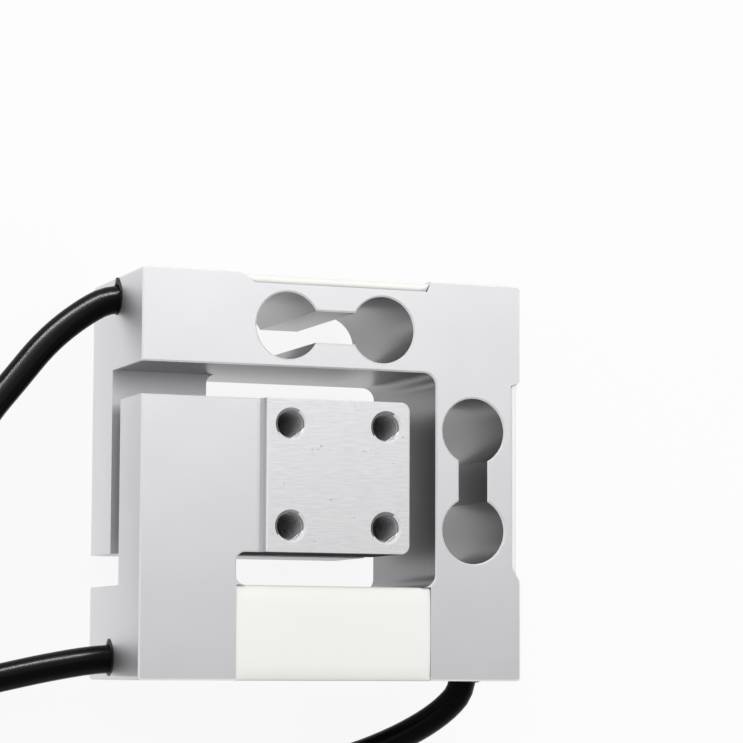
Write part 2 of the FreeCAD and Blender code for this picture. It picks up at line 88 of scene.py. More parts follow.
# Coils: five turns in the lower layer, wound inwards, and four in its grooves, wound outwards; the end,
# the step to the next turn and the span of the rise to the upper layer are in turns
COIL_CENTRE = (-88.0, -5.5)
COIL_MEAN_RADIUS = 25.2
COIL_LOWER_TURNS = 5
COIL_UPPER_TURNS = 4
COIL_END_TURN = 8.6
COIL_END_STEP = 0.0015
COIL_POINTS_PER_TURN = 24
COIL_STEP_SHARE = 0.2
COIL_RISE_SPAN = (0.45, 0.8)
COIL_LEVELS = {"right": 0, "bottom": 1, "top": 2}
COIL_START_ANGLES = {"top": 0.0, "right": -97.0, "bottom": -76.0}
COIL_RISE = CABLE_DIAMETER * math.sqrt(0.75)
COIL_HEIGHT = CABLE_DIAMETER + COIL_RISE

# Straps: angles round the coils, size, edge as distance inwards and share of the half thickness, and the
# end that laps over the top, pressed a little into the strap below it and lifted at its tip
STRAP_ANGLES = (165.0, 250.0)
STRAP_WIDTH = 8.0
STRAP_THICKNESS = 0.8
STRAP_CORNER_RADIUS = 1.0
STRAP_SIDE_STEPS = 14
STRAP_CORNER_STEPS = 6
STRAP_EDGE = ((0.0, 0.3), (0.12, 0.8), (0.5, 1.0), (2.0, 1.0))
STRAP_LAP_SPAN = (15.5, 31.0)
STRAP_LAP_STEPS = 24
STRAP_LAP_LEVEL = 0.95
STRAP_LAP_THINNING = 0.9
STRAP_TIP_LIFT = 0.25
STRAP_TIP_LENGTH = 3

# Lead ends: four insulated wires out of the end of each cable, with bare tinned tips; they fan out, sway
# a little and settle on the coil, each one turns a few degrees less far than the one before it, and the
# heights they rest at are in wire radii
LEAD_COLOURS = ("red", "black", "green", "white")
LEAD_RADIUS = 0.55
LEAD_TIP_RADIUS = 0.34
LEAD_TIP_SHARE = 0.86
LEAD_STEPS = 40
LEAD_SIDES = 12
LEAD_OFFSET = 0.62
LEAD_SWEEP = 61.0
LEAD_STAGGER = 3
LEAD_HIDDEN_SWEEP = 2
LEAD_SETTLING = 3.5
LEAD_FANNING = 0.7
LEAD_SWAY = 0.12
LEAD_SWAY_RATE = 9
LEAD_SWAY_SHIFT = 2
LEAD_LOWER_REST = 1
LEAD_UPPER_REST = 3.1

# Silicone covers: centre of the recess floor, directions along, across and out of it, and at each end the
# place of the foot and of the top
BEAM_COVER = {"low_end": (-12.7, -14.94), "high_end": (14.6, 15.2), "half_width": 12.75}
FRONT_COVER = {"low_end": (-15.33, -15.33), "high_end": (15.33, 15.33), "half_width": 6.9}
COVERS = {
    "top": {"floor": (0.0, RECESS_FLOOR, MIDDLE_LEVEL),
            "along": (1, 0, 0), "across": (0, 0, -1), "out": (0, 1, 0), **BEAM_COVER},
    "right": {"floor": (RECESS_FLOOR, 0.0, MIDDLE_LEVEL),
              "along": (0, 1, 0), "across": (0, 0, 1), "out": (1, 0, 0), **BEAM_COVER},
    "bottom": {"floor": (0.0, BOTTOM_BEAM_MIDDLE, FRONT_RECESS_FLOOR),
               "along": (1, 0, 0), "across": (0, 1, 0), "out": (0, 0, 1), **FRONT_COVER}}

# Shape of the silicone: its height and crown, the rounding along the free sides, the fall towards the ends,
# the share of the rounding that is left there, and the height and closeness of its waves
COVER_HEIGHT = 1.43
COVER_CROWN = 0.1
COVER_SIDE_WIDTH = 2.6
COVER_SIDE_DROP = 0.75
COVER_SIDE_SHARES = (0.0, 0.02, 0.06, 0.14, 0.26, 0.42, 0.6, 0.8, 1.0)
COVER_END_WIDTH = 1.4
COVER_END_DROP = 0.05
COVER_END_ROUNDING = 0.35
COVER_CORNER_RADIUS = 0.35
COVER_LEAST_RADIUS = 0.12
COVER_RIDGE_HALF_WIDTH = 0.4
COVER_TOP_ROWS = 12
COVER_SIDE_STEPS = 28
COVER_CORNER_STEPS = 5
COVER_WAVES = ((0.04, 0.16), (0.015, 0.6))

# Threads of the tapped holes: span of each row of holes, shape, and the run-in at both ends, which is in
# pitches and longer on the side away from its start
THREAD_SPANS = {"front": (16.8, 28.7), "rear": (0.3, 12.2)}
THREAD_PITCH = 0.8
THREAD_START = -45
THREAD_CREST_RADIUS = 1.83
THREAD_ROOT_RADIUS = 2.09
THREAD_OUTER_RADIUS = 2.13
THREAD_FLANK_SLOPE = 2.5
THREAD_FLANK_OFFSET = 0.75
THREAD_RUN_IN = 1.05
THREAD_RUN_IN_CHANGE = 0.75
THREAD_SPOKES = 36
THREAD_ROWS_PER_PITCH = 16

# Seals: distance out of the face and radius round the closed section, how far out of the face the uneven
# rim begins, and the lip drawn up on one side
SEAL_ROOT = -2.4
SEAL_INNER_RADIUS = 2.08
SEAL_SECTION = [
    (SEAL_ROOT, SEAL_INNER_RADIUS), (0.2, SEAL_INNER_RADIUS), (0.13, 2.2), (0.07, 2.35), (0.03, 2.5),
    (0.01, 2.64), (SEAL_ROOT, 2.63)]
SEAL_FACE = 0.01
SEAL_SPOKES = 64
SEAL_LIPS = {"top": (0.4, (0, 1, 0)), "right": (0.1, (1, 0, 0)), "bottom": (0.25, (0, 1, 0))}
SEAL_LIP_SHARPNESS = 14
SEAL_LIP_REACH = 0.5
SEAL_DRAWN_WIDTH = 0.4
SEAL_GRAIN = 0.04
SEAL_GRAIN_ROUND = 3
SEAL_GRAIN_ALONG = 2

# Where the metal's finishes and its painted shade and highlight lie: how far from the axis the inner walls
# reach, the pad's left side with its rounded foot, the pad's lower side with its painted shade, heights
# above the middle level, the rims of the tapped holes with painted shade on one side, and how the surface
# faces, which also marks the edges for a painted highlight
INNER_REACH = 29.4
STEP_SIDE = -11.52
STEP_HALF_LENGTH = 11.4
PAD_LOWER_SIDE = -11.3
SIDE_TOLERANCE = 0.3
BLOCK_FACE_HEIGHT = 12.95
PAD_FACE_HEIGHT = 13.6
MOUTH_RADIUS = 2.5
MOUTH_TURN = 0.2
UPRIGHT_TILT = 0.6
EDGE_TILTS = (0.5, 0.9)
DOWNWARD = -0.8

# Metal: darkest and lightest colour of each finish, its roughness and its patterns; the cut colours are
# partly the duller cut finish and partly painted shade, the edge colour is a painted highlight, and the
# colour under the front pad is painted shade
BLASTED_COLOURS = ((0.72, 0.717, 0.738, 1), (0.80, 0.797, 0.819, 1))
# Cut walls: partly their duller finish, partly painted shade
CUT_AND_SHADE_COLOURS = ((0.2, 0.2, 0.206, 1), (0.44, 0.44, 0.45, 1))
MILLED_COLOURS = ((0.66, 0.66, 0.675, 1), (0.9, 0.9, 0.91, 1))
NICK_COLOUR = (0.5, 0.5, 0.51, 1)
# Painted highlight on the broken edges
EDGE_HIGHLIGHT_COLOUR = (0.97, 0.97, 0.98, 1)
# Painted shade: the colour of the wall under the front pad's lower edge
PAINTED_SHADE_COLOUR = (0.06, 0.06, 0.062, 1)
METAL_ROUGHNESS = {"blasted": 0.48, "cut": 0.34, "step": 0.8, "pad": 0.5, "edge": 0.75, "painted_shade": 1.0}
METAL_GRAIN = {"scale": 5200.0, "detail": 3.0}
METAL_CLOUDS = {"scale": 70.0, "detail": 3.0}
PAD_STREAKS = {"scale": 900.0, "detail": 4.0, "stretch": (0.4, 5.5, 1.0)}
PAD_NICKS = {"scale": 1500.0, "detail": 4.0, "stretch": (0.5, 1.0, 1.0)}
NICK_LIMIT = 0.71
STEP_CUT_SHARE = 0.25
TONE_OF_CLOUDS = 0.9
TONE_OF_GRAIN = 0.5
TONE_OFFSET = 0.2
# Painted shade on the cut walls: over this half span in X their share of the lighter colour falls from the
# left to the right, with some of the tone mixed in
CUT_SHADE_HALF_SPAN = 20
CUT_SHADE_SHARES = (0.9, -0.1)
CUT_OF_TONE = 0.2
RELIEF_OF_GRAIN = 0.5
METAL_BUMP = {"strength": 0.35, "distance": 0.03}

# Painted light on each tapped hole's side towards the right and down: its direction from the hole's axis,
# how far out it begins at the mouth, how much further out it begins for each millimetre of depth, and how
# steeply its flank is turned
LIT_SIDE_DIRECTION = (0.6, -0.8)
LIT_SIDE_EDGE = (1.45, 1.58)
LIT_SIDE_SLOPE = 0.17
FLANK_RISE = 2.0
THREAD_GRAIN = {"scale": 700.0, "detail": 3.0}
RELIEF_OF_THREAD_GRAIN = 0.01
# Painted light on the hole's lit side; the dull colours are the thread's own
PAINTED_LIGHT_COLOURS = ((0.93, 0.93, 0.94, 1), (0.99, 0.99, 1.0, 1))
DULL_COLOURS = ((0.5, 0.5, 0.51, 1), (0.6, 0.6, 0.61, 1))
LIT_SIDE_ROUGHNESS = 0.25
DULL_ROUGHNESS = 0.7
THREAD_BUMP = {"strength": 1.0, "distance": 1.0}

# Gauges and straps: colours as film and grid, and as ground and pile of the cloth
GAUGE_COLOURS = ((0.42, 0.2, 0.04, 1), (0.62, 0.5, 0.4, 1))
GAUGE_ROUGHNESS = 0.35
GAUGE_LINE_SCALE = 900.0
GAUGE_LINE_LIMIT = 0.5
STRAP_COLOURS = ((0.012, 0.012, 0.013, 1), (0.05, 0.05, 0.054, 1))
STRAP_ROUGHNESS = 0.85
STRAP_WEAVE_SCALE = 1600.0
STRAP_BUMP = {"strength": 0.6, "distance": 0.2}

# Plain finishes: lightest and darkest colour, roughness, closeness and relief of the pattern
PLAIN_DETAIL = 3.0
PLAIN_STRENGTH = 0.3
PLAIN_SHINE = 0.5
LEAD_PLASTIC = {"roughness": 0.35, "scale": 900.0, "relief": 0.02}
PLAIN_FINISHES = {
    "silicone": {"light": (0.93, 0.93, 0.90), "dark": (0.90, 0.90, 0.865),
                 "roughness": 0.42, "scale": 90.0, "relief": 0.15},
    "cable_jacket": {"light": (0.0035, 0.0035, 0.004), "dark": (0.002, 0.002, 0.0025),
                     "roughness": 0.25, "scale": 900.0, "relief": 0.01, "shine": 0.06},
    "seal": {"light": (0.016, 0.016, 0.017), "dark": (0.008, 0.008, 0.009),
             "roughness": 0.5, "scale": 600.0, "relief": 0.1},
    "terminal": {"light": (0.22, 0.13, 0.05), "dark": (0.15, 0.085, 0.03),
                 "roughness": 0.45, "scale": 900.0, "relief": 0.02},
    "bridge_lead": {"light": (0.62, 0.25, 0.12), "dark": (0.5, 0.18, 0.08),
                    "roughness": 0.3, "scale": 1500.0, "relief": 0.01, "metallic": 1.0},
    "lead_red": {"light": (0.5, 0.015, 0.015), "dark": (0.42, 0.01, 0.01), **LEAD_PLASTIC},
    "lead_black": {"light": (0.014, 0.014, 0.015), "dark": (0.009, 0.009, 0.01), **LEAD_PLASTIC},
    "lead_green": {"light": (0.02, 0.26, 0.06), "dark": (0.015, 0.2, 0.045), **LEAD_PLASTIC},
    "lead_white": {"light": (0.8, 0.8, 0.78), "dark": (0.72, 0.72, 0.7), **LEAD_PLASTIC},
    "tinned_copper": {"light": (0.7, 0.7, 0.7), "dark": (0.55, 0.55, 0.56),
                      "roughness": 0.3, "scale": 3000.0, "relief": 0.03, "metallic": 1.0}}

# Room: the floor's half size in metres, its colour and its share of plain white as seen and in reflections;
# the light that the walls give, and the rise over which they fade into a dimmer ceiling
WHITE = (1, 1, 1, 1)
FLOOR_HALF = 4.0
FLOOR_COLOUR = (0.78, 0.78, 0.78, 1)
FLOOR_GLOW = 0.9
FLOOR_GLOW_IN_METAL = 1.0
ROOM_LIGHT = 0.6
CEILING_LIGHT = 0.36
WALL_FADE = (0.12, 0.6)

# Soft panel over the front: radiance, and its width, place in X, span in Y and height in metres
PANEL_BRIGHTNESS = 1.3
PANEL_WIDTH = 0.7
PANEL_OFFSET = -0.07
PANEL_SPAN = (0.018, 0.43)
PANEL_HEIGHT = 0.33

# Strip lamp for the cables alone: where it stands, which way it runs, its distance and size in metres, and
# radiance
STRIP_DIRECTION = (-0.12, 0.87, 0.44)
STRIP_HEADING = (0.45, -0.05, 0.27)
STRIP_DISTANCE = 0.65
STRIP_SIZE = (0.6, 0.05)
STRIP_BRIGHTNESS = 220.0


def smooth(share):
    """Smooth step from 0 to 1."""
    share = min(1.0, max(0.0, share))
    return share * share * (3 - 2 * share)


def mm(point):
    """A point in millimetres as a vector in metres."""
    return Vector(point) * MM


def link(obj):
    """Puts a new object in the scene."""
    bpy.context.scene.collection.objects.link(obj)
    return obj


def make_camera():
    """Camera at the photograph's viewing angle."""
    data = bpy.data.cameras.new("photo_camera")
    data.lens = CAMERA_LENS
    data.sensor_width = CAMERA_SENSOR
    data.clip_start, data.clip_end = CAMERA_CLIP
    camera = link(bpy.data.objects.new("photo_camera", data))
    turn = Matrix.Rotation(math.radians(CAMERA_YAW), 4, "Y")
    turn = turn @ Matrix.Rotation(math.radians(CAMERA_PITCH), 4, "X")
    turn = turn @ Matrix.Rotation(math.radians(CAMERA_ROLL), 4, "Z")
    camera.matrix_world = Matrix.Translation(mm(CAMERA_EYE)) @ turn
    bpy.context.scene.camera = camera


def coil_radii():
    """Radius of each turn of a coil: the lower layer inwards, then the upper layer outwards."""
    lower = [(COIL_LOWER_TURNS - 1) / 2 - i for i in range(COIL_LOWER_TURNS)]
    upper = [i - (COIL_UPPER_TURNS - 1) / 2 for i in range(COIL_UPPER_TURNS)]
    return [COIL_MEAN_RADIUS + place * CABLE_DIAMETER for place in lower + upper]


def coil_points(beam):
    """Points of a coil's turns, wound clockwise, with the last ones close together at the cut end."""
    radii = coil_radii()
    floor = STRAP_THICKNESS + COIL_LEVELS[beam] * COIL_HEIGHT + CABLE_DIAMETER / 2
    bulge = 1 / math.cos(math.pi / COIL_POINTS_PER_TURN)
    places = [i / COIL_POINTS_PER_TURN for i in range(int(COIL_END_TURN * COIL_POINTS_PER_TURN) + 1)]
    places += [COIL_END_TURN - COIL_END_STEP * i for i in (2, 1, 0)]
    rise_start, rise_end = COIL_RISE_SPAN
    points = []
    for turns in places:
        turn = int(turns)
        share = turns - turn
        ahead = radii[min(turn + 1, len(radii) - 1)]
        radius = radii[turn] + (ahead - radii[turn]) * smooth((share - 1) / COIL_STEP_SHARE + 1)
        risen = smooth((turns - COIL_LOWER_TURNS + 1 - rise_start) / (rise_end - rise_start))
        angle = math.radians(COIL_START_ANGLES[beam] - 360 * turns)
        points.append((
            COIL_CENTRE[0] + radius * bulge * math.cos(angle),
            COIL_CENTRE[1] + radius * bulge * math.sin(angle),
            floor + COIL_RISE * risen))
    return points


def cable_points(beam):
    """Route and coil of a cable; its second point is pulled outwards, so the curve keeps to the mouth."""
    route = [Vector(point) for point in CABLE_ROUTES[beam]]
    start, mouth, bend = route[:3]
    route[1] = mouth * (1 + MOUTH_PULL) - (start + bend) * (MOUTH_PULL / 2)
    return route + coil_points(beam)


def make_cable(beam, lit_cables):
    """One cable with its coil, as a single smooth curve that the strip lamp lights."""
    curve = bpy.data.curves.new(f"{beam}_cable_line", "CURVE")
    curve.dimensions = "3D"
    curve.bevel_depth = CABLE_DIAMETER / 2 * MM
    curve.bevel_resolution = CABLE_ROUND_STEPS
    curve.resolution_u = CABLE_LONG_STEPS
    curve.use_fill_caps = True
    curve.materials.append(MATERIALS["cable_jacket"])
    points = cable_points(beam)
    spline = curve.splines.new("NURBS")
    spline.points.add(len(points) - 1)
    for target, point in zip(spline.points, points):
        target.co = (*mm(point), 1.0)
    spline.order_u = 3
    spline.use_endpoint_u = True
    spline.use_smooth = True
    cable = link(bpy.data.objects.new(f"{beam}_cord", curve))
    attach(cable, "root")
    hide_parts(f"{beam}_cable", f"{beam}_cable_coil")
    lit_cables.objects.link(cable)


def skin(rows, closed):
    """Faces over rows of points, each row a ring; the rows form a ring too, or have a cap at each end."""
    count = len(rows[0])
    faces = []
    for i in range(len(rows) if closed else len(rows) - 1):
        here = i * count
        ahead = (i + 1) % len(rows) * count
        for j in range(count):
            k = (j + 1) % count
            faces.append((here + j, here + k, ahead + k, ahead + j))
    if not closed:
        faces.append(tuple(range(count)))
        faces.append(tuple(range((len(rows) - 1) * count, len(rows) * count)))
    return faces


def make_piece(name, rows, closed, slot, replaced=(), finishes=()):
    """A solid piece over rows of points in millimetres, riding on the block."""
    mesh = bpy.data.meshes.new(name)
    mesh.from_pydata([mm(point) for row in rows for point in row], [], skin(rows, closed))
    build = bmesh.new()
    build.from_mesh(mesh)
    bmesh.ops.recalc_face_normals(build, faces=build.faces)
    build.to_mesh(mesh)
    build.free()
    mesh.shade_smooth()
    for finish in finishes or (slot,):
        mesh.materials.append(MATERIALS[finish])
    piece = link(bpy.data.objects.new(name, mesh))
    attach(piece, "root")
    if replaced:
        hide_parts(*replaced)
    return piece


def rounded_rectangle(low, high, half_width, radius, side_steps, corner_steps):
    """Points round a rectangle with rounded corners, in the same number for every size."""
    corners = (
        (high - radius, half_width - radius, 0.0), (low + radius, half_width - radius, 90.0),
        (low + radius, radius - half_width, 180.0), (high - radius, radius - half_width, 270.0))
    points = []
    for i, (x, y, start) in enumerate(corners):
        for j in range(corner_steps + 1):
            angle = math.radians(start + 90 * j / corner_steps)
            points.append((x + radius * math.cos(angle), y + radius * math.sin(angle)))
        end = math.radians(start + 90)
        next_x, next_y, _ = corners[(i + 1) % len(corners)]
        first = Vector((x + radius * math.cos(end), y + radius * math.sin(end)))
        last = Vector((next_x + radius * math.cos(end), next_y + radius * math.sin(end)))
        points += [tuple(first.lerp(last, j / side_steps)) for j in range(1, side_steps)]
    return points


def cover_height(x, y, place, top, half_width):
    """Height of the silicone over its recess floor: crowned, rounded at the sides, lower at the ends."""
    side = min(1.0, max(0.0, 1 - (half_width - abs(y)) / COVER_SIDE_WIDTH))
    from_end = smooth(min(x - top[0], top[1] - x) / COVER_END_WIDTH)
    height = COVER_HEIGHT + COVER_CROWN * (1 - (y / half_width) ** 2)
    side_drop = COVER_SIDE_DROP * (COVER_END_ROUNDING + (1 - COVER_END_ROUNDING) * from_end)
    height -= side_drop * (1 - math.sqrt(1 - side * side)) + COVER_END_DROP * (1 - from_end)
    waves = sum(rise * noise.noise(place * closeness) for rise, closeness in COVER_WAVES)
    return height + waves * from_end


def make_cover(beam):
    """Silicone poured into a recess: round along its free sides, drawn up at the ends, gently uneven."""
    cover = COVERS[beam]
    floor, along, across, out = (Vector(cover[key]) for key in ("floor", "along", "across", "out"))
    half_width = cover["half_width"]
    foot, top = zip(cover["low_end"], cover["high_end"])
    steps = (COVER_SIDE_STEPS, COVER_CORNER_STEPS)
    insets = [COVER_SIDE_WIDTH * share for share in COVER_SIDE_SHARES]
    top_width = half_width - insets[-1] - COVER_RIDGE_HALF_WIDTH
    insets += [insets[-1] + top_width * i / COVER_TOP_ROWS for i in range(1, COVER_TOP_ROWS + 1)]
    foot_ring = rounded_rectangle(*foot, half_width, COVER_CORNER_RADIUS, *steps)
    rows = [[floor + along * x + across * y for x, y in foot_ring]]
    for inset in insets:
        radius = max(COVER_CORNER_RADIUS - inset, COVER_LEAST_RADIUS)
        row = []
        for x, y in rounded_rectangle(top[0] + inset, top[1] - inset, half_width - inset, radius, *steps):
            place = floor + along * x + across * y
            row.append(place + out * cover_height(x, y, place, top, half_width))
        rows.append(row)
    make_piece(f"{beam}_silicone", rows, False, "silicone", [f"{beam}_beam_cover"])


def make_thread(side, x, y, number):
    """Thread of one tapped hole: a thin sleeve, its inner wall a screw line that runs in at both ends."""
    low, high = THREAD_SPANS[side]
    spokes = [2 * math.pi * i / THREAD_SPOKES for i in range(THREAD_SPOKES)]
    levels = int((high - low) / THREAD_PITCH * THREAD_ROWS_PER_PITCH)
    start = math.radians(THREAD_START)
    rows = []
    for i in range(levels + 1):
        z = low + (high - low) * i / levels
        row = []
        for turn in spokes:
            run_in = THREAD_PITCH * (THREAD_RUN_IN - THREAD_RUN_IN_CHANGE * math.cos(turn - start))
            fade = smooth(min(z - low, high - z) / run_in)
            phase = (z / THREAD_PITCH - turn / (2 * math.pi)) % 1.0
            flank = abs(2 * phase - 1) * THREAD_FLANK_SLOPE - THREAD_FLANK_OFFSET
            ridge = min(1.0, max(0.0, flank)) * fade
            radius = THREAD_ROOT_RADIUS + (THREAD_CREST_RADIUS - THREAD_ROOT_RADIUS) * ridge
            row.append((x + radius * math.cos(turn), y + radius * math.sin(turn), z))
        rows.append(row)
    for z in (high, low):
        rows.append([
            (x + THREAD_OUTER_RADIUS * math.cos(turn), y + THREAD_OUTER_RADIUS * math.sin(turn), z)
            for turn in spokes])
    make_piece(f"{side}_thread_{number}", rows, True, "aluminium_body", finishes=["thread"])


def make_seal(beam):
    """Sealant round a cable where it leaves the block, with a small lip drawn up on one side."""
    exit_point = Vector(CABLE_EXITS[beam])
    out = Vector(CABLE_HEADINGS[beam])
    lip_height, lip = SEAL_LIPS[beam]
    lip = Vector(lip)
    side = out.cross(lip)
    rows = []
    for i in range(SEAL_SPOKES):
        angle = 2 * math.pi * i / SEAL_SPOKES
        cosine = math.cos(angle)
        sine = math.sin(angle)
        spoke = lip * cosine + side * sine
        drawn = lip_height * max(0.0, cosine) ** SEAL_LIP_SHARPNESS
        row = []
        for reach, radius in SEAL_SECTION:
            outside = smooth(reach / SEAL_FACE)
            share = outside * smooth((radius - SEAL_INNER_RADIUS) / SEAL_DRAWN_WIDTH)
            spot = Vector((SEAL_GRAIN_ROUND * cosine, SEAL_GRAIN_ROUND * sine, reach * SEAL_GRAIN_ALONG))
            grain = SEAL_GRAIN * noise.noise(spot)
            place = exit_point + out * (reach + SEAL_LIP_REACH * drawn * outside)
            row.append(place + spoke * (radius + share * (drawn + grain)))
        rows.append(row)
    make_piece(f"{beam}_seal", rows, True, "seal", [f"{beam}_cable_seal"])


def lead_path(beam, number):
    """Middle line of one wire, from inside the cable's end to its tip, settling on the coil."""
    level = STRAP_THICKNESS + COIL_LEVELS[beam] * COIL_HEIGHT
    start_angle = COIL_START_ANGLES[beam] - 360 * COIL_END_TURN + LEAD_HIDDEN_SWEEP
    upper_radius = COIL_MEAN_RADIUS + (COIL_UPPER_TURNS - 1) / 2 * CABLE_DIAMETER
    outward = LEAD_OFFSET if number % 2 else -LEAD_OFFSET
    upward = LEAD_OFFSET if number // 2 else -LEAD_OFFSET
    cable_z = level + CABLE_DIAMETER / 2 + COIL_RISE + upward
    resting_z = level + CABLE_DIAMETER + LEAD_RADIUS * (LEAD_LOWER_REST if upward < 0 else LEAD_UPPER_REST)
    path = []
    for i in range(LEAD_STEPS + 1):
        share = i / LEAD_STEPS
        angle = math.radians(start_angle - (LEAD_SWEEP - LEAD_STAGGER * number) * share)
        sway = LEAD_SWAY * math.sin(LEAD_SWAY_RATE * share + LEAD_SWAY_SHIFT * number)
        radius = upper_radius + outward * (1 + LEAD_FANNING * smooth(share)) + sway
        path.append(Vector((
            COIL_CENTRE[0] + radius * math.cos(angle),
            COIL_CENTRE[1] + radius * math.sin(angle),
            cable_z + (resting_z - cable_z) * smooth(share * LEAD_SETTLING))))
    return path


def ring_round(centre, tangent, radius):
    """Points of a circle round a wire's path."""
    side = tangent.cross(Vector((0, 0, 1))).normalized()
    rise = side.cross(tangent).normalized()
    turns = [2 * math.pi * i / LEAD_SIDES for i in range(LEAD_SIDES)]
    return [centre + side * (radius * math.cos(turn)) + rise * (radius * math.sin(turn)) for turn in turns]


def make_lead(beam, number, colour):
    """One coloured wire out of a cable's end, laid along the coil, with a bare tip."""
    path = lead_path(beam, number)
    tip_step = int(LEAD_STEPS * LEAD_TIP_SHARE)
    rows = []
    for i, centre in enumerate(path):
        tangent = (path[min(i + 1, LEAD_STEPS)] - path[max(i - 1, 0)]).normalized()
        if i == tip_step:
            rows.append(ring_round(centre, tangent, LEAD_RADIUS))
        rows.append(ring_round(centre, tangent, LEAD_RADIUS if i < tip_step else LEAD_TIP_RADIUS))
    wire = make_piece(f"{beam}_lead_{colour}", rows, False, "lead_insulation", [f"{beam}_lead_ends"],
                      [f"lead_{colour}", "tinned_copper"])
    last_cap = len(wire.data.polygons) - 1
    first_cap = last_cap - 1
    for i, face in enumerate(wire.data.polygons):
        past_tip = i // LEAD_SIDES > tip_step and i != first_cap
        face.material_index = 1 if past_tip else 0
    return wire


def strap_section(centre, normal, across, half_thickness):
    """Closed section of a strap: flat faces with rounded edges."""
    half = STRAP_WIDTH / 2
    face = [(half - inset, share) for inset, share in STRAP_EDGE]
    face += [(inset - half, share) for inset, share in reversed(STRAP_EDGE)]
    loop = face + [(x, -y) for x, y in reversed(face)]
    return [centre + across * x + normal * (y * half_thickness) for x, y in loop]


def make_strap(number, angle):
    """Hook-and-loop strap closed round the coils, and its end lapped over the top."""
    outward = Vector((math.cos(math.radians(angle)), math.sin(math.radians(angle)), 0))
    across = Vector((-outward.y, outward.x, 0))
    up = Vector((0, 0, 1))
    centre = Vector((*COIL_CENTRE, 0))
    half = STRAP_THICKNESS / 2
    inner = COIL_MEAN_RADIUS - COIL_LOWER_TURNS / 2 * CABLE_DIAMETER
    near = math.sqrt(inner ** 2 - (STRAP_WIDTH / 2) ** 2) - half
    far = COIL_MEAN_RADIUS + COIL_LOWER_TURNS / 2 * CABLE_DIAMETER + half
    top = STRAP_THICKNESS + len(BEAMS) * COIL_HEIGHT + half
    middle = (half + top) / 2
    loop = rounded_rectangle(
        near, far, (top - half) / 2, STRAP_CORNER_RADIUS, STRAP_SIDE_STEPS, STRAP_CORNER_STEPS)
    rows = []
    for i, (reach, height) in enumerate(loop):
        before = Vector(loop[i - 1])
        after = Vector(loop[(i + 1) % len(loop)])
        heading = (after - before).normalized()
        normal = outward * heading.y - up * heading.x
        place = centre + outward * reach + up * (height + middle)
        rows.append(strap_section(place, normal, across, half))
    strap = make_piece(f"strap_{number}", rows, True, "strap", [f"coil_strap_{number}"])
    low, high = STRAP_LAP_SPAN
    rows = []
    for i in range(STRAP_LAP_STEPS + 1):
        reach = low + (high - low) * i / STRAP_LAP_STEPS
        tip = smooth((reach - high + STRAP_TIP_LENGTH) / STRAP_TIP_LENGTH)
        lift = top + STRAP_THICKNESS * STRAP_LAP_LEVEL + STRAP_TIP_LIFT * tip
        place = centre + outward * reach + up * lift
        rows.append(strap_section(place, up, across, half * STRAP_LAP_THINNING))
    lap = make_piece(f"strap_lap_{number}", rows, False, "strap", [f"coil_strap_{number}"])
    return [strap, lap]


def fill(tree, socket, value):
    """Gives an input a value, or a link from another node's output."""
    if isinstance(value, bpy.types.NodeSocket):
        tree.links.new(value, socket)
    else:
        socket.default_value = value


def add(tree, kind, inputs=None, **settings):
    """A new node with its settings, its input values and its links from other nodes' outputs."""
    node = tree.nodes.new(kind)
    for key, value in settings.items():
        setattr(node, key, value)
    for key, value in (inputs or {}).items():
        fill(tree, node.inputs[key], value)
    return node


def calculate(tree, operation, first, second=0.0, clamp=False):
    """Output of a maths node."""
    node = add(tree, "ShaderNodeMath", {0: first, 1: second}, operation=operation, use_clamp=clamp)
    return node.outputs[0]


def less(tree, value, limit):
    """1 where a value is under a limit, or else 0."""
    return calculate(tree, "LESS_THAN", value, limit)


def more(tree, value, limit):
    """1 where a value is over a limit, or else 0."""
    return calculate(tree, "GREATER_THAN", value, limit)


def amount(tree, value):
    """A value without its sign."""
    return calculate(tree, "ABSOLUTE", value)


def times(tree, first, *others):
    """Product of values, which for shares of 0 and 1 means all of them at once."""
    for other in others:
        first = calculate(tree, "MULTIPLY", first, other)
    return first


def distance_from(tree, value, place):
    """How far a coordinate is from a place in millimetres."""
    return amount(tree, calculate(tree, "SUBTRACT", value, place * MM))


def split(tree, vector):
    """The three parts of a vector."""
    return add(tree, "ShaderNodeSeparateXYZ", {"Vector": vector}).outputs


def blend(tree, share, first, second):
    """Output of a colour mix."""
    node = add(tree, "ShaderNodeMix", data_type="RGBA")
    for name, value in (("Factor_Float", share), ("A_Color", first), ("B_Color", second)):
        fill(tree, next(item for item in node.inputs if item.identifier == name), value)
    return next(item for item in node.outputs if item.identifier == "Result_Color")


def blend_value(tree, share, first, second):
    """Output of a number mix."""
    return add(tree, "ShaderNodeMix", {0: share, 2: first, 3: second}, data_type="FLOAT").outputs[0]


def spots(tree, place, scale, detail, stretch=(1.0, 1.0, 1.0)):
    """Value of a noise over the object's own coordinates."""
    mapped = add(tree, "ShaderNodeMapping", {"Vector": place, "Scale": stretch}).outputs[0]
    inputs = {"Vector": mapped, "Scale": scale, "Detail": detail}
    return add(tree, "ShaderNodeTexNoise", inputs).outputs["Fac"]


def bump(tree, height, strength, distance):
    """Normal of a fine relief."""
    inputs = {"Height": height, "Strength": strength, "Distance": distance * MM}
    return add(tree, "ShaderNodeBump", inputs).outputs[0]


def start_material(surface):
    """A material with its shader and the object's own coordinates."""
    material = bpy.data.materials.new(f"{surface}_finish")
    material["surface"] = surface
    material.use_nodes = True
    tree = material.node_tree
    shader = tree.nodes["Principled BSDF"]
    place = add(tree, "ShaderNodeTexCoord").outputs["Object"]
    return material, tree, shader, place


def set_inputs(tree, shader, inputs):
    """Values and links of a shader."""
    for key, value in inputs.items():
        fill(tree, shader.inputs[key], value)


